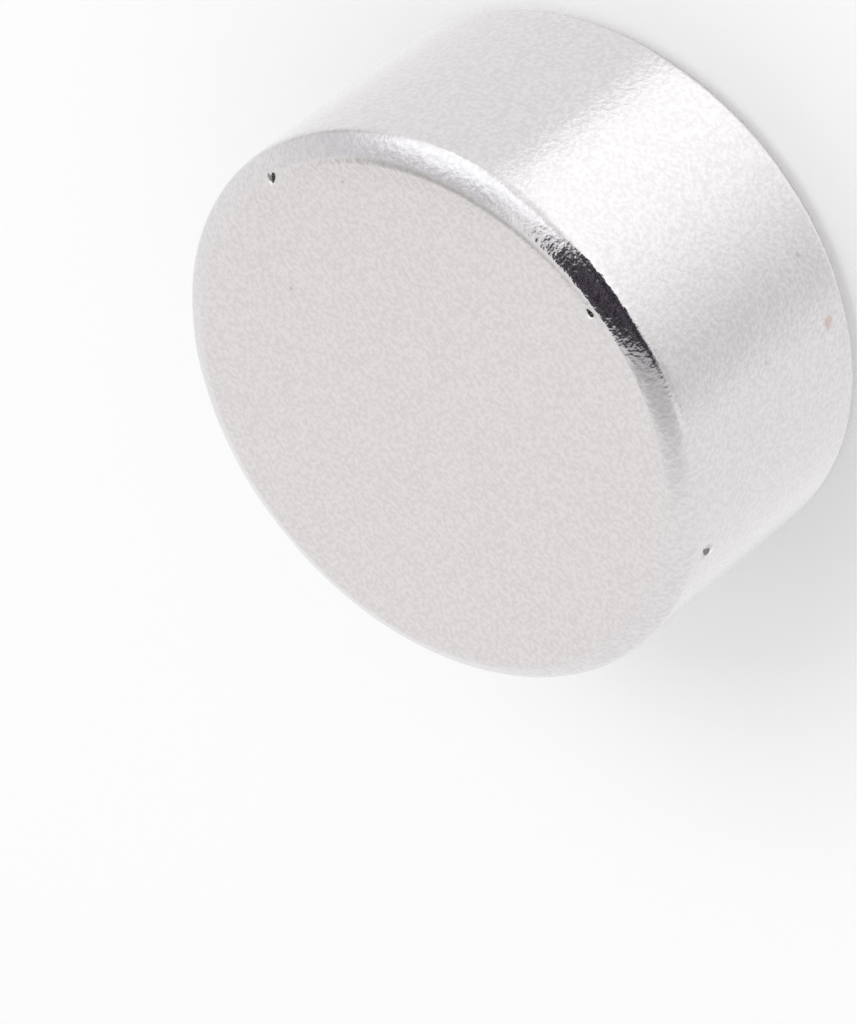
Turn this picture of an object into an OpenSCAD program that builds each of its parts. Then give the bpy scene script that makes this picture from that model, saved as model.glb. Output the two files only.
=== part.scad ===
/* [Disc] */
// Diameter across the barrel
diameter = 15; // [6:0.5:40]
// Thickness from one flat face to the other
thickness = 7.5; // [3:0.5:30]

/* [Rounded rims] */
// How far the rounding reaches in from the barrel, on each face
edge_width = 0.75; // [0.6:0.05:1.2]
// How far below each face the rounding would meet the barrel, if the corner there were sharp
edge_depth = 0.41; // [0.2:0.01:0.5]
// Width of the soft shoulder by which the rounding leaves the flat face
shoulder_width = 0.18; // [0.1:0.02:0.3]
// Radius of the slight crown on the slope of the rounding
crown_radius = 2.5; // [1:0.5:12]
// How far the soft corner between the slope and the barrel reaches along each of them
corner_reach = 0.16; // [0.06:0.02:0.24]

/* [Pits in the plating] */
// Width of the large pit, across the upper face's shoulder
large_pit_width = 0.26; // [0.1:0.02:0.4]
// How far the large pit's middle lies outside the flat
large_pit_shift = 0.09; // [0:0.01:0.14]
// Direction of the large pit round the disc, in degrees from +X
large_pit_angle = -9; // [-180:1:180]
// Width of the small pit, across the border of the flat
small_pit_width = 0.16; // [0.08:0.02:0.28]
// How far the small pit's middle lies outside the flat
small_pit_shift = 0.05; // [0:0.01:0.1]
// Direction of the small pit round the disc, in degrees from +X
small_pit_angle = -95; // [-180:1:180]
// Width of the pit in the barrel
barrel_pit_width = 0.28; // [0.1:0.02:0.4]
// Gap between the barrel pit's edge and the soft corner above it
barrel_pit_gap = 0.45; // [0.1:0.05:1.5]
// Direction of the barrel pit round the disc, in degrees from +X
barrel_pit_angle = -152; // [-180:1:180]
// Depth of each pit, as a share of its width
pit_depth_share = 0.35; // [0.2:0.05:0.5]

/* [Hidden] */

radius = diameter / 2;
// Radius of the flat part of each face, inside its rounded rim
face_radius = radius - edge_width;

// The shoulder is an arc that leaves the face tangent to it. This share of its radius keeps it
// under the crown all the way from the shoulder's end to the barrel
shoulder_share = 0.75;
shoulder_radius = shoulder_share * edge_width^2 / edge_depth;
shoulder_depth = shoulder_radius - sqrt(shoulder_radius^2 - shoulder_width^2);

// The crown is an arc from the shoulder's end to the barrel, at edge_depth below the face
shoulder_end = [face_radius + shoulder_width, shoulder_depth];
crown_end = [radius, edge_depth];
crown_centre = arc_centre(shoulder_end, crown_end, crown_radius);
crown_chord = crown_end - shoulder_end;
crown_end_slope = atan2(crown_chord[1], crown_chord[0])
    + asin(norm(crown_chord) / 2 / crown_radius);

// The soft corner is an arc from the crown to the barrel. It is a little flatter than one that
// would only touch them, so it crosses both
corner_share = 1.1;
corner_radius = corner_share * corner_reach / tan((90 - crown_end_slope) / 2);
corner_start = crown_centre
    + turned(crown_end - crown_centre, -corner_reach / crown_radius * 180 / PI);
corner_end = [radius, edge_depth + corner_reach];
corner_centre = arc_centre(corner_start, corner_end, corner_radius);

// Height up to which the rim's section is cut from its arcs, past the soft corner
rim_height = edge_depth + 2 * corner_reach;

// Centre of the arc that bulges down and out between two points of the lower rim
function arc_centre(start, end, arc_radius) =
    let (chord = end - start)
    (start + end) / 2
    + sqrt(arc_radius^2 - (chord * chord) / 4) * [-chord[1], chord[0]] / norm(chord);

// A vector turned by an angle, anticlockwise
function turned(vector, angle) = [
    vector[0] * cos(angle) - vector[1] * sin(angle),
    vector[0] * sin(angle) + vector[1] * cos(angle)
];

$fa = 2;
$fs = 0.02;

// What the soft corner takes off: the wedge between the barrel and the crown, outside its arc
module corner_offcut() {
    inwards = corner_centre - crown_centre;
    reach = 2 * corner_radius;
    difference() {
        polygon([
            corner_centre,
            corner_centre + reach * inwards / norm(inwards),
            corner_centre + [reach, 0]
        ]);
        translate(corner_centre)
            circle(r = corner_radius);
    }
}

// Section of the rounded rim at the lower face: what lies inside the shoulder and the crown,
// without what the soft corner takes off
module rim_section() {
    difference() {
        intersection() {
            square([radius, rim_height]);
            translate([face_radius, shoulder_radius])
                circle(r = shoulder_radius);
            translate(crown_centre)
                circle(r = crown_radius);
        }
        corner_offcut();
    }
}

// Section of the disc, from the axis out: two flat faces, their rounded rims and the barrel
module disc_section() {
    square([face_radius, thickness]);
    translate([0, rim_height])
        square([radius, thickness - 2 * rim_height]);
    rim_section();
    translate([0, thickness])
        mirror([0, 1])
            rim_section();
}

// A ball that cuts a bowl-shaped pit of the given width into the surface z = 0
module pit(width) {
    depth = width * pit_depth_share;
    ball_radius = ((width / 2)^2 + depth^2) / (2 * depth);
    translate([0, 0, ball_radius - depth])
        sphere(r = ball_radius);
}

// A pit in the upper face, with its middle shifted outside the flat
module face_pit(width, shift, angle) {
    rotate([0, 0, angle])
        translate([face_radius + shift, 0, thickness])
            pit(width);
}

// A pit in the barrel, clear of the upper rim by a gap
module barrel_pit(width, gap, angle) {
    rotate([0, 0, angle])
        translate([radius, 0, thickness - corner_end[1] - gap - width / 2])
            rotate([0, 90, 0])
                pit(width);
}

// The whole magnet: one sintered and plated disc, with its three pits
module magnet() {
    color([0.86, 0.84, 0.84])
        difference() {
            rotate_extrude()
                disc_section();
            face_pit(large_pit_width, large_pit_shift, large_pit_angle);
            face_pit(small_pit_width, small_pit_shift, small_pit_angle);
            barrel_pit(barrel_pit_width, barrel_pit_gap, barrel_pit_angle);
        }
}

magnet();
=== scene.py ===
"""A nickel-plated disc magnet, standing on its flat face in a plain white studio.

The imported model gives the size. The magnet is one turned body with crowned rims and small pits,
dressed in satin nickel plate. Lengths are in metres and angles in degrees.
"""

import logging
import math
from dataclasses import dataclass, field
from enum import Enum

import bmesh
import bpy
from mathutils import Matrix, Vector, noise


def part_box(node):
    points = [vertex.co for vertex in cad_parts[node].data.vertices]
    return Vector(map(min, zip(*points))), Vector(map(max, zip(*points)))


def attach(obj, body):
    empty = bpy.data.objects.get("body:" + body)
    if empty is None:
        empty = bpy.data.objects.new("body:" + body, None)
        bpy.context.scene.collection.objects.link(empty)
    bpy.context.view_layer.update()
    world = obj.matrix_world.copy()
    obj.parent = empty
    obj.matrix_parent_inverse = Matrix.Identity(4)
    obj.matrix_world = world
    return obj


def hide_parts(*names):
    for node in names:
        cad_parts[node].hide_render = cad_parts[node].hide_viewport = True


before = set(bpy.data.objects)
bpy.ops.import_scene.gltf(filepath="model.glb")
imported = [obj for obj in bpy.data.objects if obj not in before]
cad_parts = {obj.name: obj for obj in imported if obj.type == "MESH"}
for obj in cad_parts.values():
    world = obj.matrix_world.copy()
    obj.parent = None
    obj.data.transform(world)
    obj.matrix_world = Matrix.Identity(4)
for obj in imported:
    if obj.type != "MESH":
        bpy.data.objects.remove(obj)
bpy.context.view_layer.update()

LOG = logging.getLogger("disc_magnet")

MM = 0.001
MICRON = 0.001 * MM
FULL_TURN = 2 * math.pi
# Points closer than this are one and the same
MERGE_GAP = 0.00001 * MM

Colour = tuple[float, float, float]


def into_scene(name: str, shape: bmesh.types.BMesh) -> bpy.types.Object:
    """Makes an object of a shape and puts it in the scene.

    Args:
        name: The object's name.
        shape: The shape, which is used up.

    Returns:
        The object, at the origin.
    """
    mesh = bpy.data.meshes.new(name)
    shape.to_mesh(mesh)
    shape.free()
    made = bpy.data.objects.new(name, mesh)
    bpy.context.scene.collection.objects.link(made)
    return made


def facing_magnet(azimuth: float, elevation: float, distance: float) -> Matrix:
    """Finds the place of a lamp or a panel that faces the magnet.

    Args:
        azimuth: Direction from the camera's side towards +X.
        elevation: Height over the floor.
        distance: Distance from the magnet.

    Returns:
        The place, with its own X to the right and its own Y up.
    """
    return (
        Matrix.Rotation(math.radians(azimuth), 4, "Z")
        @ Matrix.Rotation(math.radians(-elevation), 4, "X")
        @ Matrix.Translation((0, -distance, 0))
        @ Matrix.Rotation(math.radians(90), 4, "X")
    )


class Zone(Enum):
    """Places of the magnet's surface, each with a finish of its own. The value is the slot.

    FACE, RIM and BARREL are plated. SCUFF is a shallow pit, PIT an ordinary and DEEP a dark one;
    their dark finishes are partly painted shade.
    """

    FACE = 0
    RIM = 1
    BARREL = 2
    PIT = 3
    SCUFF = 4
    DEEP = 5


class Side(Enum):
    """The surface that a pit, a speck or a painted highlight lies in."""

    FACE = "face"
    BARREL = "barrel"


class Nodes:
    """A short way to add and join shader nodes in one tree.

    Attributes:
        MIX_FIRST: Number of a Mix node's input for its first colour.
        MIX_SECOND: Number of its input for the second colour.
        MIX_RESULT: Number of its output for the mixed colour.
    """

    MIX_FIRST = 6
    MIX_SECOND = 7
    MIX_RESULT = 2

    def __init__(self, tree: bpy.types.NodeTree) -> None:
        """Keeps the tree.

        Args:
            tree: The node tree of a material, a world or a group.
        """
        self.tree = tree

    def add(self, kind: str, **settings: object) -> bpy.types.Node:
        """Adds a node.

        Args:
            kind: The node's type name, without the leading "ShaderNode".
            **settings: Properties of the node, such as operation="MULTIPLY".

        Returns:
            The new node.
        """
        node = self.tree.nodes.new(f"ShaderNode{kind}")
        for name, value in settings.items():
            setattr(node, name, value)
        return node

    def set(self, node: bpy.types.Node, **values: object) -> bpy.types.Node:
        """Sets or joins input sockets by name, with spaces written as underscores.

        Args:
            node: The node whose inputs are set.
            **values: A number, colour or vector, or an output socket to join.

        Returns:
            The same node.
        """
        for name, value in values.items():
            self.plug(node, name.replace("_", " "), value)
        return node

    def plug(self, node: bpy.types.Node, socket: str | int, value: object) -> None:
        """Gives one input socket a value, or joins an output socket to it.

        Args:
            node: The node.
            socket: The input's name or number.
            value: A plain value or an output socket.
        """
        target = node.inputs[socket]
        if isinstance(value, bpy.types.NodeSocket):
            self.tree.links.new(value, target)
        else:
            target.default_value = value

    def math(self, operation: str, *values: object) -> bpy.types.NodeSocket:
        """Adds a Math node.

        Args:
            operation: The operation, such as "ADD".
            *values: Numbers or output sockets, in the order of the node's inputs.

        Returns:
            The node's output.
        """
        node = self.add("Math", operation=operation)
        for number, value in enumerate(values):
            self.plug(node, number, value)
        return node.outputs[0]

    def blend(self, share: object, first: object, second: object) -> bpy.types.NodeSocket:
        """Adds a Mix node for colours.

        Args:
            share: Share of the second colour.
            first: The first colour, with its alpha, or an output socket.
            second: The second colour, with its alpha, or an output socket.

        Returns:
            The mixed colour.
        """
        node = self.add("Mix", data_type="RGBA")
        self.plug(node, "Factor", share)
        self.plug(node, self.MIX_FIRST, first)
        self.plug(node, self.MIX_SECOND, second)
        return node.outputs[self.MIX_RESULT]

    def ramp(self, value: object, low: float, high: float) -> bpy.types.NodeSocket:
        """Turns a value into a smooth step from 0 at low to 1 at high.

        Args:
            value: The value's output socket.
            low: The value at which the step starts.
            high: The value at which it ends.

        Returns:
            The step's output.
        """
        node = self.add("MapRange", interpolation_type="SMOOTHSTEP")
        self.set(node, Value=value, From_Min=low, From_Max=high)
        return node.outputs["Result"]

    def noise(self, vector: object, scale: object, detail: object = 2.0) -> bpy.types.NodeSocket:
        """Adds a noise texture.

        Args:
            vector: The coordinates' output socket.
            scale: Cells for each metre, or an output socket with that.
            detail: Number of finer layers.

        Returns:
            The noise, about 0.5.
        """
        node = self.add("TexNoise", noise_dimensions="3D")
        self.set(node, Vector=vector, Scale=scale, Detail=detail)
        return node.outputs["Fac"]


class NodeGroup:
    """A shared effect: a shader node group with named sockets, built once.

    Attributes:
        name: The group's name.
        inputs: Kind of each input socket, by its name.
        outputs: Kind of each output socket, by its name.
    """

    name: str = ""
    inputs: dict[str, str] = {}
    outputs: dict[str, str] = {}

    def tree(self) -> bpy.types.NodeTree:
        """Finds the group, or builds it the first time.

        Returns:
            The group's node tree.
        """
        found = bpy.data.node_groups.get(self.name)
        if found:
            return found
        tree = bpy.data.node_groups.new(self.name, "ShaderNodeTree")
        for name, kind in self.inputs.items():
            tree.interface.new_socket(name=name, in_out="INPUT", socket_type=kind)
        for name, kind in self.outputs.items():
            tree.interface.new_socket(name=name, in_out="OUTPUT", socket_type=kind)
        nodes = Nodes(tree)
        enter = tree.nodes.new("NodeGroupInput")
        leave = tree.nodes.new("NodeGroupOutput")
        self.build(nodes, enter.outputs, leave)
        return tree

    def build(
        self, nodes: Nodes, given: bpy.types.NodeOutputs, leave: bpy.types.Node
    ) -> None:
        """Fills the group. Each effect has its own.

        Args:
            nodes: The group's nodes.
            given: The group's inputs.
            leave: The node that takes the group's outputs.
        """
        raise NotImplementedError

    def place(self, nodes: Nodes, **values: object) -> bpy.types.NodeOutputs:
        """Places the group in a material.

        Args:
            nodes: The material's nodes.
            **values: The group's inputs by name, with spaces written as underscores.

        Returns:
            The group's outputs.
        """
        node = nodes.add("Group", node_tree=self.tree())
        nodes.set(node, **values)
        return node.outputs


class TumbledGrain(NodeGroup):
    """The fine hammered grain, the dents and the slow waves that tumbling leaves in plate.

    Attributes:
        tone_limits: Noise levels between which the tone goes from hollow to crest.
    """

    name = "tumbled_grain"
    inputs = {
        "Coordinates": "NodeSocketVector",
        "Grain per metre": "NodeSocketFloat",
        "Grain height": "NodeSocketFloat",
        "Grain detail": "NodeSocketFloat",
        "Dents per metre": "NodeSocketFloat",
        "Dent height": "NodeSocketFloat",
        "Waves per metre": "NodeSocketFloat",
        "Wave height": "NodeSocketFloat",
    }
    outputs = {"Height": "NodeSocketFloat", "Tone": "NodeSocketFloat"}
    tone_limits: tuple[float, float] = (0.3, 0.7)

    def build(
        self, nodes: Nodes, given: bpy.types.NodeOutputs, leave: bpy.types.Node
    ) -> None:
        """Adds grain, dents and waves to one height, in microns, and makes a tone of the grain.

        Args:
            nodes: The group's nodes.
            given: The group's inputs.
            leave: The node that takes the group's outputs.
        """
        place = given["Coordinates"]
        grain = nodes.noise(place, given["Grain per metre"], given["Grain detail"])
        dents = nodes.noise(place, given["Dents per metre"], detail=1.0)
        waves = nodes.noise(place, given["Waves per metre"], detail=1.0)
        height = nodes.math("MULTIPLY", grain, given["Grain height"])
        height = nodes.math("MULTIPLY_ADD", dents, given["Dent height"], height)
        height = nodes.math("MULTIPLY_ADD", waves, given["Wave height"], height)
        nodes.plug(leave, "Height", height)
        nodes.plug(leave, "Tone", nodes.ramp(grain, *self.tone_limits))


class Blot(NodeGroup):
    """One small blot with an uneven outline: a speck where the plate is thin or stained, and also
    a painted highlight beside a pit.

    Attributes:
        flecks_per_reach: Flecks of the noise along the blot's reach.
        unevenness: How far the noise moves the outline, as a share of the reach.
        fade_limits: Shares of the reach between which the blot fades out.
    """

    name = "blot"
    inputs = {
        "Coordinates": "NodeSocketVector",
        "Middle": "NodeSocketVector",
        "Reach": "NodeSocketFloat",
        "Strength": "NodeSocketFloat",
    }
    outputs = {"Mask": "NodeSocketFloat"}
    flecks_per_reach: float = 1.5
    unevenness: float = 1.2
    fade_limits: tuple[float, float] = (0.4, 1.0)

    def build(
        self, nodes: Nodes, given: bpy.types.NodeOutputs, leave: bpy.types.Node
    ) -> None:
        """Fades out with the distance from the middle, which a fine noise makes uneven.

        Args:
            nodes: The group's nodes.
            given: The group's inputs.
            leave: The node that takes the group's outputs.
        """
        gap = nodes.add("VectorMath", operation="DISTANCE")
        nodes.plug(gap, 0, given["Coordinates"])
        nodes.plug(gap, 1, given["Middle"])
        share = nodes.math("DIVIDE", gap.outputs["Value"], given["Reach"])
        flecks = nodes.math("DIVIDE", self.flecks_per_reach, given["Reach"])
        ragged = nodes.noise(given["Coordinates"], flecks)
        level = nodes.math("SUBTRACT", share, self.unevenness / 2)
        uneven = nodes.math("MULTIPLY_ADD", ragged, self.unevenness, level)
        inside = nodes.math("SUBTRACT", 1.0, nodes.ramp(uneven, *self.fade_limits))
        nodes.plug(leave, "Mask", nodes.math("MULTIPLY", inside, given["Strength"]))


@dataclass(frozen=True)
class SpeckOrHighlight:
    """A faint speck in the plate; the bright ones are painted highlights beside the pits.

    Attributes:
        side: The surface that it lies in.
        angle: Direction round the disc from +X.
        inset: How far its middle lies in from the barrel, or down from the upper face.
        reach: How far it reaches from its middle.
        strength: How much of the plate's colour it takes away.
        colour: Its colour in linear light.
    """

    side: Side
    angle: float
    inset: float
    reach: float
    strength: float
    colour: Colour = (0.2, 0.17, 0.14)

    def middle(self, radius: float, height: float) -> Vector:
        """Finds the speck's middle.

        Args:
            radius: The disc's radius.
            height: The disc's thickness.

        Returns:
            The middle.
        """
        place = Vector((radius, 0, height - self.inset))
        if self.side is Side.FACE:
            place = Vector((radius - self.inset, 0, height))
        return Matrix.Rotation(math.radians(self.angle), 3, "Z") @ place


@dataclass(frozen=True)
class SatinPlate:
    """Satin nickel plate, with the grain that tumbling leaves in it.

    Attributes:
        name: The material's name.
        radius: The disc's radius, which places the specks and the painted highlights.
        height: The disc's thickness, which places the specks and the painted highlights.
        colour: Colour of the plate in linear light.
        roughness: Roughness between the grains.
        grain_size: Width of a grain.
        grain_height: Height of a grain, in microns.
        dent_size: Width of a dent.
        dent_height: Height of a dent, in microns.
        wave_size: Length of the slow waves.
        wave_height: Height of the slow waves, in microns.
        tone_spread: Difference in colour between crests and hollows, as a share.
        grain_detail: Number of finer layers in the grain.
        specks_and_highlights: The specks in it, and the painted highlights beside its pits.
    """

    name: str
    radius: float
    height: float
    colour: Colour = (0.716, 0.686, 0.684)
    roughness: float = 0.11
    grain_size: float = 0.12 * MM
    grain_height: float = 9.0
    dent_size: float = 0.42 * MM
    dent_height: float = 6.0
    wave_size: float = 1.6 * MM
    wave_height: float = 3.0
    tone_spread: float = 0.06
    grain_detail: float = 1.6
    specks_and_highlights: tuple[SpeckOrHighlight, ...] = ()

    def material(self) -> bpy.types.Material:
        """Builds the plate's material.

        Returns:
            The material.
        """
        made = bpy.data.materials.new(self.name)
        made.use_nodes = True
        nodes = Nodes(made.node_tree)
        surface = made.node_tree.nodes["Principled BSDF"]
        place = nodes.add("TexCoord").outputs["Object"]
        grain = TumbledGrain().place(
            nodes,
            Coordinates=place,
            Grain_per_metre=1 / self.grain_size,
            Grain_height=self.grain_height,
            Grain_detail=self.grain_detail,
            Dents_per_metre=1 / self.dent_size,
            Dent_height=self.dent_height,
            Waves_per_metre=1 / self.wave_size,
            Wave_height=self.wave_height,
        )
        hollow = tuple(part * (1 - self.tone_spread / 2) for part in self.colour)
        crest = tuple(part * (1 + self.tone_spread / 2) for part in self.colour)
        colour = nodes.blend(grain["Tone"], (*hollow, 1), (*crest, 1))
        # Dark specks are stains in the plate; the bright ones are painted highlights beside the
        # pits
        for speck_or_highlight in self.specks_and_highlights:
            blot = Blot().place(
                nodes,
                Coordinates=place,
                Middle=speck_or_highlight.middle(self.radius, self.height),
                Reach=speck_or_highlight.reach,
                Strength=speck_or_highlight.strength,
            )
            colour = nodes.blend(blot["Mask"], colour, (*speck_or_highlight.colour, 1))
        bump = nodes.add("Bump")
        nodes.set(bump, Strength=1.0, Distance=MICRON, Height=grain["Height"])
        nodes.set(surface, Base_Color=colour, Normal=bump.outputs["Normal"])
        nodes.set(surface, Metallic=1.0, Roughness=self.roughness)
        return made


@dataclass(frozen=True)
class BareAlloyAndPaintedShade:
    """The dull alloy that shows in a pit. Its dark colour is partly the bare alloy and partly
    painted shade for the pit's hollow.

    Attributes:
        name: The material's name.
        colour: Colour in linear light, dark partly as painted shade.
        pale: Colour of the pale grains in it, in linear light.
        roughness: Roughness of the broken surface.
        metallic: How metallic it looks, where 1 is polished metal.
        grain_size: Width of a grain.
        pale_limits: Noise levels between which the pale grains set in.
    """

    name: str
    colour: Colour = (0.1, 0.094, 0.086)
    pale: Colour = (0.36, 0.35, 0.33)
    roughness: float = 0.6
    metallic: float = 0.6
    grain_size: float = 0.05 * MM
    pale_limits: tuple[float, float] = (0.5, 0.8)

    def material(self) -> bpy.types.Material:
        """Builds the alloy's material.

        Returns:
            The material.
        """
        made = bpy.data.materials.new(self.name)
        made.use_nodes = True
        nodes = Nodes(made.node_tree)
        surface = made.node_tree.nodes["Principled BSDF"]
        place = nodes.add("TexCoord").outputs["Object"]
        grain = nodes.ramp(nodes.noise(place, 1 / self.grain_size), *self.pale_limits)
        colour = nodes.blend(grain, (*self.colour, 1), (*self.pale, 1))
        nodes.set(surface, Base_Color=colour, Roughness=self.roughness, Metallic=self.metallic)
        return made


@dataclass(frozen=True)
class Pit:
    """A small pit, cut as a ball that is drawn out into an egg.

    Attributes:
        side: The surface that it is cut into.
        angle: Direction round the disc from +X.
        inset: How far its middle lies in from the barrel, or down from the upper face.
        length: Its length.
        width: Its width.
        turn: Turn of its length, from the radius on the face or from the axis on the barrel.
        depth: Its depth.
        zone: The finish inside it.
        point: How far one end is drawn to a point, as a share of the width.
    """

    side: Side
    angle: float
    inset: float
    length: float
    width: float
    turn: float = 0.0
    depth: float = 0.05 * MM
    zone: Zone = Zone.PIT
    point: float = 0.45

    def cutter(self, middle: Vector, slope: float) -> bmesh.types.BMesh:
        """Makes the egg that cuts the pit.

        Args:
            middle: The pit's middle, turned to +X.
            slope: Fall of the surface there, outwards.

        Returns:
            The egg, in its place.
        """
        egg = bmesh.new()
        bmesh.ops.create_icosphere(egg, subdivisions=3, radius=1.0)
        # The egg's widest part lies on the surface, and one end is drawn to a point
        for vert in egg.verts:
            vert.co.y *= 1 - self.point * vert.co.x
        place = (
            Matrix.Rotation(math.radians(self.angle), 4, "Z")
            @ Matrix.Translation(middle)
            @ Matrix.Rotation(slope, 4, "Y")
            @ Matrix.Rotation(math.radians(self.turn), 4, "Z")
            @ Matrix.Diagonal((self.length / 2, self.width / 2, self.depth, 1))
        )
        bmesh.ops.transform(egg, matrix=place, verts=egg.verts)
        bmesh.ops.recalc_face_normals(egg, faces=egg.faces)
        for mesh_face in egg.faces:
            mesh_face.material_index = self.zone.value
        return egg


@dataclass
class DiscMagnet:
    """The magnet: one turned body with two flat faces, crowned rims and a straight barrel.

    Attributes:
        radius: Radius of the barrel.
        height: Thickness between the flat faces.
        edge_width: How far the rounding reaches in from the barrel.
        edge_depth: How far down the rounding would meet the barrel at a sharp corner.
        shoulder_width: Width of the soft shoulder next to the flat face.
        shoulder_share: Radius of the shoulder, as a share of what the rounding's size gives.
        shoulder_blend: How far the shoulder and the crown are blended into each other.
        crown_radius: Radius of the crown on the rest of the rounding.
        corner_reach: How far the soft corner reaches along the crown and along the barrel.
        corner_share: Radius of the soft corner, as a share of one that touches both.
        corner_tilt: How far the corner rises and falls, once round the disc.
        corner_lead: Direction round the disc from +X where the upper corner lies lowest.
        corner_wander: How far it wanders on the way.
        wander_size: Length of one rise and fall on the way.
        corner_fade: Length of barrel over which the wandering fades out.
        steps_round: Faces round the disc.
        face_rings: Rings of mesh faces on each flat face.
        shoulder_rings: Rings on each shoulder.
        blend_rings: Rings on each blend between a shoulder and its crown.
        crown_rings: Rings on each crown.
        corner_rings: Rings on each soft corner.
        barrel_rings: Rings on the barrel, an even number.
        sharp_angle: Angle between mesh faces past which an edge stays sharp.
        pits: The pits in it.
    """

    radius: float
    height: float
    edge_width: float = 0.75 * MM
    edge_depth: float = 0.41 * MM
    shoulder_width: float = 0.18 * MM
    shoulder_share: float = 0.75
    shoulder_blend: float = 0.05 * MM
    crown_radius: float = 2.5 * MM
    corner_reach: float = 0.16 * MM
    corner_share: float = 1.1
    corner_tilt: float = 0.08 * MM
    corner_lead: float = -160.0
    corner_wander: float = 0.02 * MM
    wander_size: float = 1.6 * MM
    corner_fade: float = 1 * MM
    steps_round: int = 360
    face_rings: int = 10
    shoulder_rings: int = 3
    blend_rings: int = 3
    crown_rings: int = 7
    corner_rings: int = 8
    barrel_rings: int = 24
    sharp_angle: float = 35
    pits: list[Pit] = field(default_factory=list)

    @property
    def face_radius(self) -> float:
        """Radius of the flat part of each face."""
        return self.radius - self.edge_width

    @property
    def shoulder_radius(self) -> float:
        """Radius of the shoulder's arc, which leaves the face tangent to it."""
        return self.shoulder_share * self.edge_width**2 / self.edge_depth

    @property
    def shoulder_slope(self) -> float:
        """Slope of the shoulder where it ends, in radians."""
        return math.asin(self.shoulder_width / self.shoulder_radius)

    @property
    def shoulder_end(self) -> Vector:
        """Where the shoulder ends and the crown starts, at the lower face."""
        drop = self.shoulder_radius * (1 - math.cos(self.shoulder_slope))
        return Vector((self.face_radius + self.shoulder_width, 0, drop))

    @property
    def sharp_corner(self) -> Vector:
        """Where the crown would meet the barrel, at the lower face."""
        return Vector((self.radius, 0, self.edge_depth))

    @property
    def crown_centre(self) -> Vector:
        """Centre of the crown's arc, at the lower face."""
        return self.arc_centre(self.shoulder_end, self.sharp_corner, self.crown_radius)

    @property
    def corner_start(self) -> Vector:
        """Where the soft corner leaves the crown."""
        back = Matrix.Rotation(self.corner_reach / self.crown_radius, 4, "Y")
        return self.crown_centre + back @ (self.sharp_corner - self.crown_centre)

    @property
    def corner_end(self) -> Vector:
        """Where the soft corner meets the barrel."""
        return self.sharp_corner + Vector((0, 0, self.corner_reach))

    @property
    def corner_centre(self) -> Vector:
        """Centre of the soft corner's arc, at the lower face."""
        bend = (self.corner_start - self.crown_centre).angle(Vector((1, 0, 0)))
        touching = self.corner_reach / math.tan(bend / 2)
        return self.arc_centre(self.corner_start, self.corner_end, self.corner_share * touching)

    @staticmethod
    def arc_centre(start: Vector, end: Vector, radius: float) -> Vector:
        """Finds the centre of an arc that bulges down and out.

        Args:
            start: The arc's start.
            end: The arc's end.
            radius: The arc's radius.

        Returns:
            The centre.
        """
        chord = end - start
        rise = math.sqrt(radius**2 - chord.length_squared / 4)
        across = Vector((-chord.z, 0, chord.x)).normalized()
        return (start + end) / 2 + across * rise

    @staticmethod
    def arc_turn(start: Vector, end: Vector, centre: Vector) -> float:
        """Finds the turn of an arc.

        Args:
            start: The arc's start.
            end: The arc's end.
            centre: The arc's centre.

        Returns:
            The turn in radians.
        """
        return (start - centre).angle(end - centre)

    def draw_arc(
        self,
        section: bmesh.types.BMesh,
        start: bmesh.types.BMVert,
        centre: Vector,
        turn: float,
        steps: int,
    ) -> bmesh.types.BMVert:
        """Sweeps a point of the section along an arc.

        Args:
            section: The section, in the plane of X and Z.
            start: The point that is swept.
            centre: The arc's centre.
            turn: The arc's turn from X towards Z.
            steps: Edges along the arc.

        Returns:
            The arc's last point.
        """
        made = bmesh.ops.spin(
            section, geom=[start], cent=centre, axis=(0, -1, 0), angle=turn, steps=steps
        )
        return next(part for part in made["geom_last"] if isinstance(part, bmesh.types.BMVert))

    def draw_line(
        self,
        section: bmesh.types.BMesh,
        start: bmesh.types.BMVert,
        step: Vector,
        steps: int,
    ) -> bmesh.types.BMVert:
        """Draws a straight run of equal edges from a point of the section.

        Args:
            section: The section, in the plane of X and Z.
            start: The point that the line starts from.
            step: The whole line, from its start to its end.
            steps: Edges along the line.

        Returns:
            The line's last point.
        """
        last = start
        for _ in range(steps):
            made = bmesh.ops.extrude_vert_indiv(section, verts=[last])
            last = made["verts"][0]
            last.co += step / steps
        return last

    def half_section(self) -> bmesh.types.BMesh:
        """Draws the section's lower half, from the axis out and up to the barrel's middle.

        Returns:
            The half section, as a chain of edges.
        """
        section = bmesh.new()
        here = section.verts.new((0, 0, 0))
        here = self.draw_line(section, here, Vector((self.face_radius, 0, 0)), self.face_rings)
        centre = Vector((self.face_radius, 0, self.shoulder_radius))
        here = self.draw_arc(section, here, centre, self.shoulder_slope, self.shoulder_rings)
        here.co = self.shoulder_end
        centre = self.crown_centre
        turn = self.arc_turn(self.shoulder_end, self.corner_start, centre)
        here = self.draw_arc(section, here, centre, turn, self.crown_rings)
        here.co = self.corner_start
        centre = self.corner_centre
        turn = self.arc_turn(self.corner_start, self.corner_end, centre)
        here = self.draw_arc(section, here, centre, turn, self.corner_rings)
        here.co = self.corner_end
        rise = Vector((0, 0, self.height / 2 - self.corner_end.z))
        self.draw_line(section, here, rise, self.barrel_rings // 2)
        return section

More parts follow.
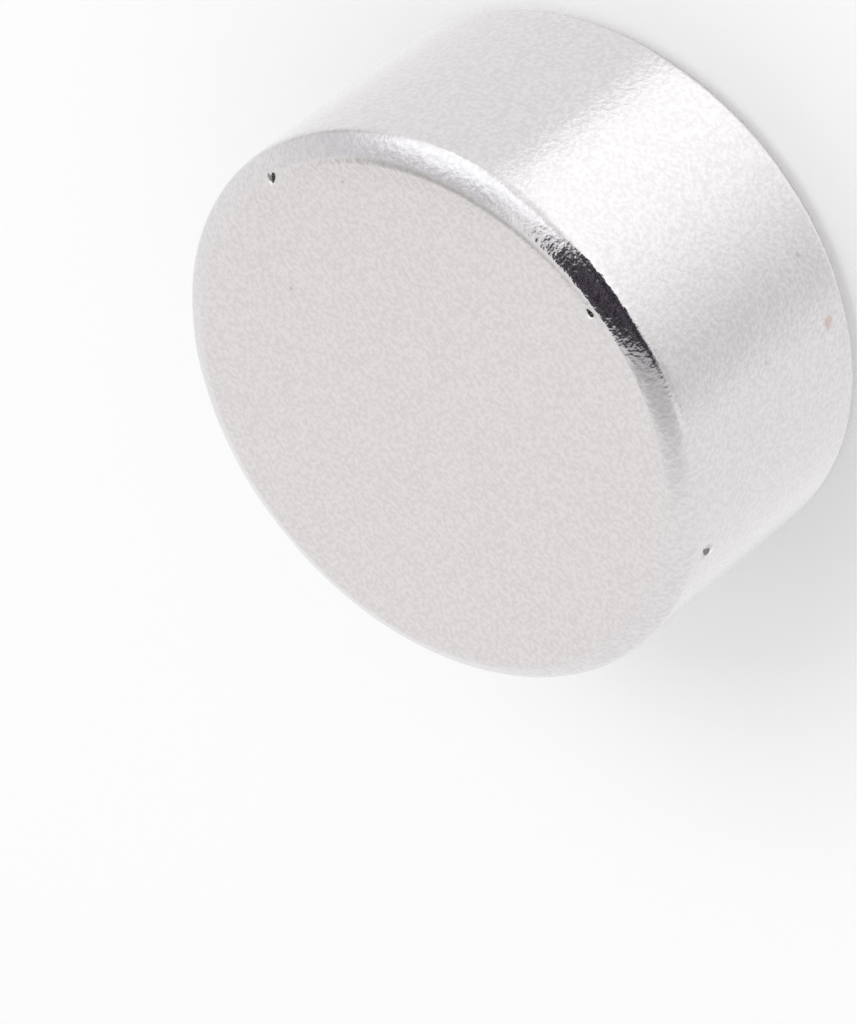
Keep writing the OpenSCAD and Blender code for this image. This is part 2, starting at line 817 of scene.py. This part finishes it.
    def turned_body(self) -> bmesh.types.BMesh:
        """Turns the section into the closed disc.

        Returns:
            The disc, with even rims.
        """
        body = self.half_section()
        bmesh.ops.spin(
            body,
            geom=body.verts[:] + body.edges[:],
            cent=(0, 0, 0),
            axis=(0, 0, 1),
            angle=FULL_TURN,
            steps=self.steps_round,
            use_merge=True,
        )
        lower = body.verts[:] + body.edges[:] + body.faces[:]
        upper = bmesh.ops.duplicate(body, geom=lower)["geom"]
        bmesh.ops.scale(
            body,
            vec=(1, 1, -1),
            space=Matrix.Translation((0, 0, -self.height / 2)),
            verts=[part for part in upper if isinstance(part, bmesh.types.BMVert)],
        )
        bmesh.ops.remove_doubles(body, verts=body.verts, dist=MERGE_GAP)
        bmesh.ops.recalc_face_normals(body, faces=body.faces)
        return body

    def blend_shoulders(self, body: bmesh.types.BMesh) -> None:
        """Blends the two shoulders into their crowns.

        Args:
            body: The disc.
        """
        ring = self.shoulder_end
        rings = [
            {
                vert
                for vert in body.verts
                if abs(vert.co.z - level) < MICRON and abs(vert.co.xy.length - ring.x) < MICRON
            }
            for level in (ring.z, self.height - ring.z)
        ]
        borders = [
            edge for edge in body.edges if any(set(edge.verts) <= verts for verts in rings)
        ]
        bmesh.ops.bevel(
            body,
            geom=borders,
            offset=self.shoulder_blend,
            offset_type="OFFSET",
            affect="EDGES",
            segments=self.blend_rings,
            profile=0.5,
            material=-1,
        )

    def let_corners_wander(self, body: bmesh.types.BMesh) -> None:
        """Lets the soft corners rise and fall, as tumbling leaves them.

        Args:
            body: The disc.
        """
        slope_start = self.shoulder_end.z + self.shoulder_blend
        for vert in body.verts:
            top = vert.co.z > self.height / 2
            depth = self.height - vert.co.z if top else vert.co.z
            down_slope = (depth - slope_start) / (self.edge_depth - slope_start)
            down_barrel = (depth - self.edge_depth) / self.corner_fade
            share = min(1.0, max(0.0, down_slope)) * (1 - min(1.0, max(0.0, down_barrel)))
            angle = math.atan2(vert.co.y, vert.co.x) - math.radians(self.corner_lead)
            place = Vector((vert.co.x, vert.co.y, float(top))) / self.wander_size
            wander = self.corner_wander * noise.noise(place)
            vert.co.z -= share * (self.corner_tilt * math.cos(angle) + wander)

    def zone_of(self, place: Vector) -> Zone:
        """Says which zone a place of the body's surface belongs to.

        Args:
            place: The middle of a mesh face.

        Returns:
            The zone.
        """
        if place.xy.length < self.shoulder_end.x:
            return Zone.FACE
        if min(place.z, self.height - place.z) < self.edge_depth:
            return Zone.RIM
        return Zone.BARREL

    def surface_at(self, side: Side, inset: float) -> tuple[Vector, float]:
        """Finds a place on the upper face, its rim or the barrel.

        Args:
            side: The surface.
            inset: How far in from the barrel, or down from the upper face.

        Returns:
            The place, turned to +X, and the fall of the surface there, outwards.
        """
        if side is Side.BARREL:
            return Vector((self.radius, 0, self.height - inset)), math.radians(90)
        across = self.radius - inset
        if across <= self.face_radius:
            return Vector((across, 0, self.height)), 0.0
        centre, arc_radius = self.crown_centre, self.crown_radius
        if across < self.shoulder_end.x:
            centre = Vector((self.face_radius, 0, self.shoulder_radius))
            arc_radius = self.shoulder_radius
        fall = math.asin((across - centre.x) / arc_radius)
        depth = centre.z - arc_radius * math.cos(fall)
        return Vector((across, 0, self.height - depth)), fall

    def cut_pits(self, piece: bpy.types.Object) -> None:
        """Cuts the pits into the body one after another, and keeps the result as its mesh.

        Args:
            piece: The body's object.
        """
        tools = []
        for number, pit in enumerate(self.pits):
            egg = pit.cutter(*self.surface_at(pit.side, pit.inset))
            tool = into_scene(f"pit_cutter_{number}", egg)
            tools.append(tool)
            cut = piece.modifiers.new(f"pit_{number}", "BOOLEAN")
            cut.operation = "DIFFERENCE"
            cut.solver = "EXACT"
            cut.object = tool
        bpy.context.view_layer.update()
        ready = piece.evaluated_get(bpy.context.evaluated_depsgraph_get())
        finished = bpy.data.meshes.new_from_object(ready)
        piece.modifiers.clear()
        piece.data = finished
        for tool in tools:
            bpy.data.objects.remove(tool)

    def build(self, finishes: dict[Zone, bpy.types.Material]) -> bpy.types.Object:
        """Builds and dresses the magnet.

        Args:
            finishes: The material of each zone.

        Returns:
            The magnet's object.
        """
        body = self.turned_body()
        self.blend_shoulders(body)
        self.let_corners_wander(body)
        for mesh_face in body.faces:
            mesh_face.material_index = self.zone_of(mesh_face.calc_center_median()).value
        piece = into_scene("plated_magnet", body)
        for zone in Zone:
            piece.data.materials.append(finishes[zone])
        if self.pits:
            self.cut_pits(piece)
        piece.data.shade_smooth()
        piece.data.set_sharp_from_angle(angle=math.radians(self.sharp_angle))
        return piece


@dataclass(frozen=True)
class SoftPanel:
    """A curved card or lit cloth that only reflections see, with soft borders.

    Attributes:
        name: The panel's name.
        azimuth: Direction of its middle, from the camera's side towards +X.
        elevation: Height of its middle over the floor.
        width: Width in degrees.
        height: Height in degrees.
        light: Brightness, where 1 is white.
        distance: Distance from the magnet, all over the panel.
        borders: Soft share of the left, right, lower and upper border.
        taper: Width of its upper end, as a share of its lower end's.
        turn: Turn of the panel in its own plane.
        mottle: How unevenly it is lit, as a share of its brightness.
        mottle_count: Number of lighter and darker places across it.
        mottle_limits: Noise levels between which dark turns to light.
        cells: Mesh faces along each side.
    """

    name: str
    azimuth: float
    elevation: float
    width: float
    height: float
    light: Colour
    distance: float
    borders: tuple[float, float, float, float] = (0.4, 0.4, 0.4, 0.4)
    taper: float = 1.0
    turn: float = 0.0
    mottle: float = 0.0
    mottle_count: float = 9
    mottle_limits: tuple[float, float] = (0.35, 0.65)
    cells: int = 30

    def material(self) -> bpy.types.Material:
        """Builds the panel's own light, which fades out towards its borders.

        Returns:
            The material.
        """
        made = bpy.data.materials.new(self.name)
        made.use_nodes = True
        made.cycles.emission_sampling = "NONE"
        nodes = Nodes(made.node_tree)
        made.node_tree.nodes.remove(made.node_tree.nodes["Principled BSDF"])
        place = nodes.add("UVMap", uv_map="panel").outputs["UV"]
        split = nodes.set(nodes.add("SeparateXYZ"), Vector=place)
        left, right, lower, upper = self.borders
        across, along = split.outputs["X"], split.outputs["Y"]
        sides = nodes.math(
            "MULTIPLY",
            nodes.ramp(across, 0.0, left),
            nodes.ramp(nodes.math("SUBTRACT", 1.0, across), 0.0, right),
        )
        ends = nodes.math(
            "MULTIPLY",
            nodes.ramp(along, 0.0, lower),
            nodes.ramp(nodes.math("SUBTRACT", 1.0, along), 0.0, upper),
        )
        clear = nodes.add("BsdfTransparent")
        lit = nodes.set(nodes.add("Emission"), Color=(*self.light, 1), Strength=1.0)
        if self.mottle:
            uneven = nodes.ramp(nodes.noise(place, self.mottle_count), *self.mottle_limits)
            strength = nodes.math("MULTIPLY_ADD", uneven, 2 * self.mottle, 1 - self.mottle)
            nodes.plug(lit, "Strength", strength)
        mixed = nodes.add("MixShader")
        nodes.plug(mixed, 0, nodes.math("MULTIPLY", sides, ends))
        nodes.plug(mixed, 1, clear.outputs[0])
        nodes.plug(mixed, 2, lit.outputs[0])
        nodes.plug(made.node_tree.nodes["Material Output"], "Surface", mixed.outputs[0])
        return made

    def build(self) -> bpy.types.Object:
        """Builds the panel and turns it to the magnet.

        Returns:
            The panel's object.
        """
        shape = bmesh.new()
        shape.loops.layers.uv.new("panel")
        bmesh.ops.create_grid(
            shape, x_segments=self.cells, y_segments=self.cells, size=1.0, calc_uvs=True
        )
        reach_x = self.distance * math.tan(math.radians(self.width / 2))
        reach_y = self.distance * math.tan(math.radians(self.height / 2))
        for vert in shape.verts:
            share = 1 + (self.taper - 1) * (vert.co.y + 1) / 2
            vert.co.x *= reach_x * share
            vert.co.y *= reach_y
        place = facing_magnet(self.azimuth, self.elevation, self.distance)
        place = place @ Matrix.Rotation(math.radians(self.turn), 4, "Z")
        bmesh.ops.transform(shape, matrix=place, verts=shape.verts)
        for vert in shape.verts:
            vert.co = vert.co.normalized() * self.distance
        panel = into_scene(self.name, shape)
        panel.data.materials.append(self.material())
        panel.visible_camera = False
        panel.visible_diffuse = False
        panel.visible_transmission = False
        panel.visible_volume_scatter = False
        panel.visible_shadow = False
        return panel


@dataclass
class Studio:
    """The plain set: a white floor and world, one soft lamp, and the panels round it.

    Attributes:
        floor_radius: Radius of the round floor.
        floor_sides: Number of its sides.
        floor_colour: Colour of the floor in linear light.
        floor_roughness: Roughness of the floor.
        world_light: Strength of the world's light on the floor.
        lamp_azimuth: Direction of the lamp from the camera's side towards +X.
        lamp_elevation: Height of the lamp over the floor.
        lamp_distance: Distance of the lamp from the magnet.
        lamp_size: Width of the lamp's cloth.
        lamp_power: Power of the lamp in watts.
        panels: The panels.
    """

    floor_radius: float = 500 * MM
    floor_sides: int = 96
    floor_colour: Colour = (0.94, 0.94, 0.94)
    floor_roughness: float = 0.9
    world_light: float = 0.9
    lamp_azimuth: float = 60
    lamp_elevation: float = 50
    lamp_distance: float = 400 * MM
    lamp_size: float = 220 * MM
    lamp_power: float = 0.35
    panels: list[SoftPanel] = field(default_factory=list)

    def build_floor(self) -> None:
        """Builds the floor. Reflections see through it to the white world and the panels."""
        shape = bmesh.new()
        bmesh.ops.create_circle(
            shape, cap_ends=True, segments=self.floor_sides, radius=self.floor_radius
        )
        bmesh.ops.recalc_face_normals(shape, faces=shape.faces)
        floor = into_scene("floor", shape)
        made = bpy.data.materials.new("white_floor")
        made.use_nodes = True
        nodes = Nodes(made.node_tree)
        matt = made.node_tree.nodes["Principled BSDF"]
        nodes.set(matt, Base_Color=(*self.floor_colour, 1), Roughness=self.floor_roughness)
        nodes.plug(matt, "Specular IOR Level", 0.0)
        path = nodes.add("LightPath")
        mixed = nodes.add("MixShader")
        nodes.plug(mixed, 0, path.outputs["Is Glossy Ray"])
        nodes.plug(mixed, 1, matt.outputs[0])
        nodes.plug(mixed, 2, nodes.add("BsdfTransparent").outputs[0])
        nodes.plug(made.node_tree.nodes["Material Output"], "Surface", mixed.outputs[0])
        floor.data.materials.append(made)

    def build_world(self) -> None:
        """Makes the world white to the camera and to reflections, and softer to the floor."""
        world = bpy.data.worlds.new("white_room")
        bpy.context.scene.world = world
        world.use_nodes = True
        world.cycles.sampling_method = "NONE"
        nodes = Nodes(world.node_tree)
        light = world.node_tree.nodes["Background"]
        path = nodes.add("LightPath")
        seen = nodes.math(
            "MAXIMUM",
            path.outputs["Is Camera Ray"],
            nodes.math(
                "MAXIMUM", path.outputs["Is Glossy Ray"], path.outputs["Is Transmission Ray"]
            ),
        )
        strength = nodes.add("MapRange")
        nodes.set(strength, Value=seen, To_Min=self.world_light, To_Max=1.0)
        nodes.set(light, Color=(1, 1, 1, 1), Strength=strength.outputs["Result"])

    def build_lamp(self) -> None:
        """Hangs the soft lamp, whose cloth the reflections see as a panel of its own."""
        light = bpy.data.lights.new("soft_lamp", "AREA")
        light.shape = "SQUARE"
        light.size = self.lamp_size
        light.energy = self.lamp_power
        lamp = bpy.data.objects.new("soft_lamp", light)
        lamp.matrix_world = facing_magnet(
            self.lamp_azimuth, self.lamp_elevation, self.lamp_distance
        )
        lamp.visible_camera = False
        lamp.visible_glossy = False
        bpy.context.scene.collection.objects.link(lamp)

    def build(self) -> None:
        """Builds the whole set."""
        self.build_floor()
        self.build_world()
        self.build_lamp()
        for panel in self.panels:
            panel.build()
            LOG.info("panel %s", panel.name)


@dataclass(frozen=True)
class CameraStand:
    """The camera, which looks down on the magnet with its head rolled.

    Attributes:
        lens: Focal length in millimetres.
        sensor: Sensor size along the picture's long side, in millimetres.
        place: Where the camera stands.
        tilt: How far it looks down from the level.
        roll: Turn of its head about the line of sight.
        nearest: Distance from which it sees.
        farthest: Distance up to which it sees.
    """

    lens: float = 240.0
    sensor: float = 36.0
    place: tuple[float, float, float] = (-1.797 * MM, -124.123 * MM, 114.472 * MM)
    tilt: float = 40.2565
    roll: float = -128.7307
    nearest: float = 10 * MM
    farthest: float = 2000 * MM

    def build(self) -> None:
        """Makes the scene's camera."""
        data = bpy.data.cameras.new("camera")
        data.lens = self.lens
        data.sensor_width = self.sensor
        data.sensor_fit = "AUTO"
        data.clip_start = self.nearest
        data.clip_end = self.farthest
        stand = bpy.data.objects.new("camera", data)
        stand.matrix_world = (
            Matrix.Translation(self.place)
            @ Matrix.Rotation(math.radians(90 - self.tilt), 4, "X")
            @ Matrix.Rotation(math.radians(self.roll), 4, "Z")
        )
        bpy.context.scene.collection.objects.link(stand)
        bpy.context.scene.camera = stand


def magnet_pits() -> list[Pit]:
    """Lists the pits in the plate.

    Returns:
        The pits.
    """
    return [
        Pit(Side.FACE, -8.7, 0.67 * MM, 0.31 * MM, 0.13 * MM, turn=135, depth=0.08 * MM),
        Pit(
            Side.FACE, -7.9, 0.6 * MM, 0.3 * MM, 0.12 * MM, turn=11, depth=0.03 * MM,
            zone=Zone.SCUFF,
        ),
        Pit(
            Side.FACE, -94.5, 0.68 * MM, 0.25 * MM, 0.13 * MM, turn=94, depth=0.07 * MM,
            zone=Zone.DEEP,
        ),
        Pit(
            Side.BARREL, -152.4, 1.15 * MM, 0.44 * MM, 0.18 * MM, turn=137, depth=0.05 * MM,
            zone=Zone.SCUFF,
        ),
    ]


def plate_specks_and_highlights() -> tuple[SpeckOrHighlight, ...]:
    """Lists the faint specks in the plate, and the painted highlights beside the pits.

    Returns:
        The specks and the painted highlights.
    """
    rust = (0.5, 0.35, 0.28)
    # Painted highlights: a bright crescent painted into the plate's colour beside each pit, on
    # the side that faces the light
    painted_highlight = (0.95, 0.93, 0.92)
    return (
        SpeckOrHighlight(Side.FACE, -7.4, 0.74 * MM, 0.1 * MM, 0.9, painted_highlight),
        SpeckOrHighlight(Side.FACE, -95.2, 0.75 * MM, 0.1 * MM, 0.9, painted_highlight),
        SpeckOrHighlight(Side.BARREL, -153.8, 1.42 * MM, 0.1 * MM, 0.7, painted_highlight),
        SpeckOrHighlight(Side.BARREL, -152.4, 1.16 * MM, 0.26 * MM, 0.4),
        SpeckOrHighlight(Side.FACE, 4.6, 0.49 * MM, 0.06 * MM, 0.5),
        SpeckOrHighlight(Side.FACE, 12.6, 2.9 * MM, 0.07 * MM, 0.35),
        SpeckOrHighlight(Side.FACE, -27.5, 1.21 * MM, 0.06 * MM, 0.35),
        SpeckOrHighlight(Side.FACE, -92.7, 0.56 * MM, 0.05 * MM, 0.4),
        SpeckOrHighlight(Side.BARREL, -124.5, 6.39 * MM, 0.22 * MM, 0.5, rust),
        SpeckOrHighlight(Side.BARREL, -109.6, 6.14 * MM, 0.09 * MM, 0.25),
        SpeckOrHighlight(Side.BARREL, -122.8, 3.85 * MM, 0.09 * MM, 0.25),
    )


def studio_panels() -> list[SoftPanel]:
    """Lists the panels round the set, the nearest first.

    Returns:
        The panels.
    """
    return [
        SoftPanel(
            "stand_shade", 35.0, 20.6, 25.2, 84, (0.98, 0.985, 0.99), 600 * MM,
            borders=(0.51, 0.63, 0.23, 0.27), taper=0.75, turn=23,
        ),
        SoftPanel(
            "lamp_cloth", 66.5, 25.7, 55, 85, (1.385, 1.41, 1.41), 630 * MM,
            borders=(0.07, 0.41, 0.1, 0.3), taper=1.74, turn=-15.3,
        ),
        SoftPanel(
            "lens_slot", -8.8, 50.2, 59, 68.4, (0.056, 0.049, 0.06), 660 * MM,
            borders=(0.15, 0.16, 0.03, 0.03), taper=0.32, turn=-8.2, mottle=1.0,
        ),
        SoftPanel(
            "left_shade", -34.8, 49.5, 96.7, 77.3, (0.09, 0.09, 0.095), 690 * MM,
            borders=(0.93, 0.55, 0.26, 0.43), taper=0.93, turn=15,
        ),
        SoftPanel(
            "wall_shade", 110.8, 0.2, 46.6, 52.3, (0.74, 0.74, 0.745), 720 * MM,
            borders=(0.4, 0.65, 0.46, 0.34), taper=1.63, turn=20,
        ),
        SoftPanel(
            "back_shade", 138.5, 68.9, 60.8, 43.8, (0.57, 0.57, 0.57), 750 * MM,
            borders=(0.81, 0.12, 0.15, 0.9), taper=0.3, turn=0,
        ),
        SoftPanel(
            "low_cloth", -7.5, -27.4, 93.6, 100, (1.425, 1.43, 1.425), 780 * MM,
            borders=(0.74, 0.31, 0.16, 0.21), taper=1.37, turn=19.6,
        ),
        SoftPanel(
            "low_shade", -21.8, -16.6, 86.7, 100, (0.13, 0.13, 0.135), 810 * MM,
            borders=(0.32, 0.56, 0.62, 0.04), taper=0.48, turn=-1.3,
        ),
        SoftPanel(
            "right_shade", 106.1, 42.5, 67.3, 61.6, (0.615, 0.618, 0.63), 840 * MM,
            borders=(0.19, 0.82, 0.35, 0.04), taper=1.63, turn=8.7,
        ),
        SoftPanel(
            "far_floor", 180, -74, 70, 46, (0.6, 0.6, 0.61), 870 * MM,
            borders=(0.4, 0.4, 0.3, 0.2),
        ),
        SoftPanel(
            "left_wall", -172, -40, 36, 40, (0.8, 0.8, 0.805), 900 * MM,
            borders=(0.5, 0.5, 0.4, 0.4),
        ),
    ]


def main() -> None:
    """Builds the magnet, then the set and the camera."""
    logging.basicConfig(level=logging.INFO, format="%(name)s: %(message)s")
    low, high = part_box("magnet")
    magnet = DiscMagnet(
        radius=min(high.x, high.y, -low.x, -low.y),
        height=high.z - low.z,
        pits=magnet_pits(),
    )
    disc = {"radius": magnet.radius, "height": magnet.height, "specks_and_highlights": plate_specks_and_highlights()}
    finishes = {
        Zone.FACE: SatinPlate(
            "plated_face",
            grain_size=0.115 * MM,
            grain_height=2.6,
            dent_height=3.0,
            tone_spread=0.125,
            **disc,
        ).material(),
        Zone.RIM: SatinPlate(
            "plated_rim", colour=(0.709, 0.686, 0.7), tone_spread=0.12, **disc
        ).material(),
        Zone.BARREL: SatinPlate(
            "plated_barrel",
            colour=(0.709, 0.686, 0.7),
            dent_height=3.5,
            tone_spread=0.12,
            **disc,
        ).material(),
        # The pit finishes are bare alloy, darkened further as painted shade for the pits' hollows
        Zone.PIT: BareAlloyAndPaintedShade("bare_alloy_painted_shade").material(),
        Zone.SCUFF: BareAlloyAndPaintedShade("thin_plate_painted_shade", (0.25, 0.235, 0.23), (0.5, 0.48, 0.47)).material(),
        Zone.DEEP: BareAlloyAndPaintedShade("deep_alloy_painted_shade", (0.045, 0.042, 0.038), (0.36, 0.35, 0.33)).material(),
    }
    piece = magnet.build(finishes)
    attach(piece, "root")
    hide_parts("magnet")
    LOG.info("piece %s: %d faces", piece.name, len(piece.data.polygons))

    CameraStand().build()
    Studio(panels=studio_panels()).build()
    bpy.context.scene.view_settings.view_transform = "Standard"


if __name__ == "__main__":
    main()
